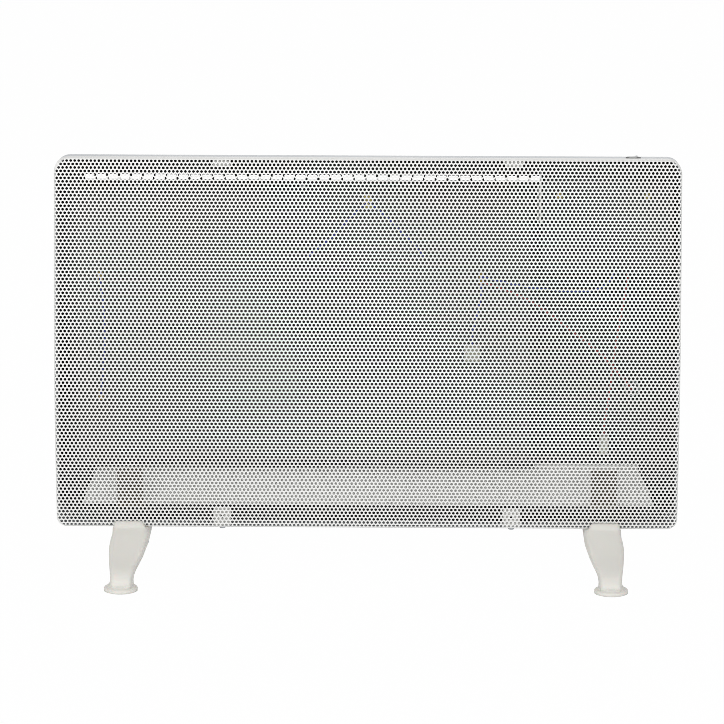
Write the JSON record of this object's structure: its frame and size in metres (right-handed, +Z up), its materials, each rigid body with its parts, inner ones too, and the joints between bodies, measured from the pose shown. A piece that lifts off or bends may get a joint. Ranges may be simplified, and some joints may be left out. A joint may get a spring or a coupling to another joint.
{
  "type": "radiant panel heater",
  "caption": "Free-standing electric radiant panel heater: bowed perforated steel front, mica elements, rear thermostat knob, rocker switch and two arched feet.",
  "frame": {"origin": "on the floor, midway between the four foot discs, below the middle of the panel's width", "axes": "+X to the right seen from the front and along the panel's width, +Y from the perforated front to the back, +Z up"},
  "size_m": [0.702, 0.252, 0.4754],
  "materials": {
    "cream_enamel": "satin stoved enamel",
    "grey_enamel": "satin stoved enamel",
    "black_enamel": "matt heatproof enamel",
    "white_enamel": "satin stoved enamel",
    "zinc_steel": "bright zinc plate",
    "yellow_zinc": "yellow passivated zinc plate",
    "resistance_alloy": "dull oxidised strip",
    "mica": "dull layered sheet",
    "steatite": "glazed",
    "brass": "plain",
    "foot_plastic": "fine satin moulding",
    "rubber_grip": "matt",
    "black_plastic": "fine matt moulding",
    "box_plastic": "heatproof matt moulding",
    "knob_plastic": "satin moulding",
    "dial_plastic": "satin",
    "lamp_lens": "clear amber",
    "terminal_nylon": "plain",
    "brown_pvc": "satin",
    "blue_pvc": "satin"
  },
  "bodies": {
    "heater": {"grille": "cream_enamel", "rear_shell": "grey_enamel", "front_lugs": "zinc_steel", "front_screws": "zinc_steel", "heat_shield": "black_enamel", "shield_spacers": "zinc_steel", "element_frame": "black_enamel", "mica_front_lower": "mica", "mica_front_upper": "mica", "mica_back_lower": "mica", "mica_back_upper": "mica", "heating_ribbon_lower": "resistance_alloy", "heating_ribbon_upper": "resistance_alloy", "element_standoffs": "zinc_steel", "rear_screws": "zinc_steel", "bottom_rail": "black_enamel", "air_deflector": "white_enamel", "control_box": "box_plastic", "box_screws": "yellow_zinc", "side_baffle": "black_enamel", "thermostat": "steatite", "thermostat_nut": "zinc_steel", "dial_plate": "dial_plastic", "pilot_lamp": "lamp_lens", "power_switch": "black_plastic", "thermal_cutout": "steatite", "element_terminals": "brass", "wire_clip": "terminal_nylon", "tilt_switch": "black_plastic", "tilt_bracket": "zinc_steel", "terminal_block": "terminal_nylon", "cord_gland": "black_plastic", "wire_supply": "brown_pvc", "wire_tilt": "brown_pvc", "wire_element": "blue_pvc", "wire_jumper": "blue_pvc", "wire_cutout": "blue_pvc", "foot_left": "foot_plastic", "foot_right": "foot_plastic", "foot_grips": "rubber_grip", "foot_screws": "zinc_steel", "foot_brackets": "zinc_steel"},
    "knob": {"thermostat_knob": "knob_plastic", "thermostat_shaft": "zinc_steel"},
    "rocker": {"power_rocker": "black_plastic"}
  },
  "joints": [
    {"name": "thermostat_turn", "type": "hinge", "parent": "heater", "child": "knob", "pos_m": [0.258, 0.035, 0.395], "axis": [0, -1, 0], "range_deg": [0, 270]},
    {"name": "rocker_tip", "type": "hinge", "parent": "heater", "child": "rocker", "pos_m": [0.297, 0.013, 0.46965], "axis": [0, 1, 0], "range_deg": [0, 14]}
  ]
}
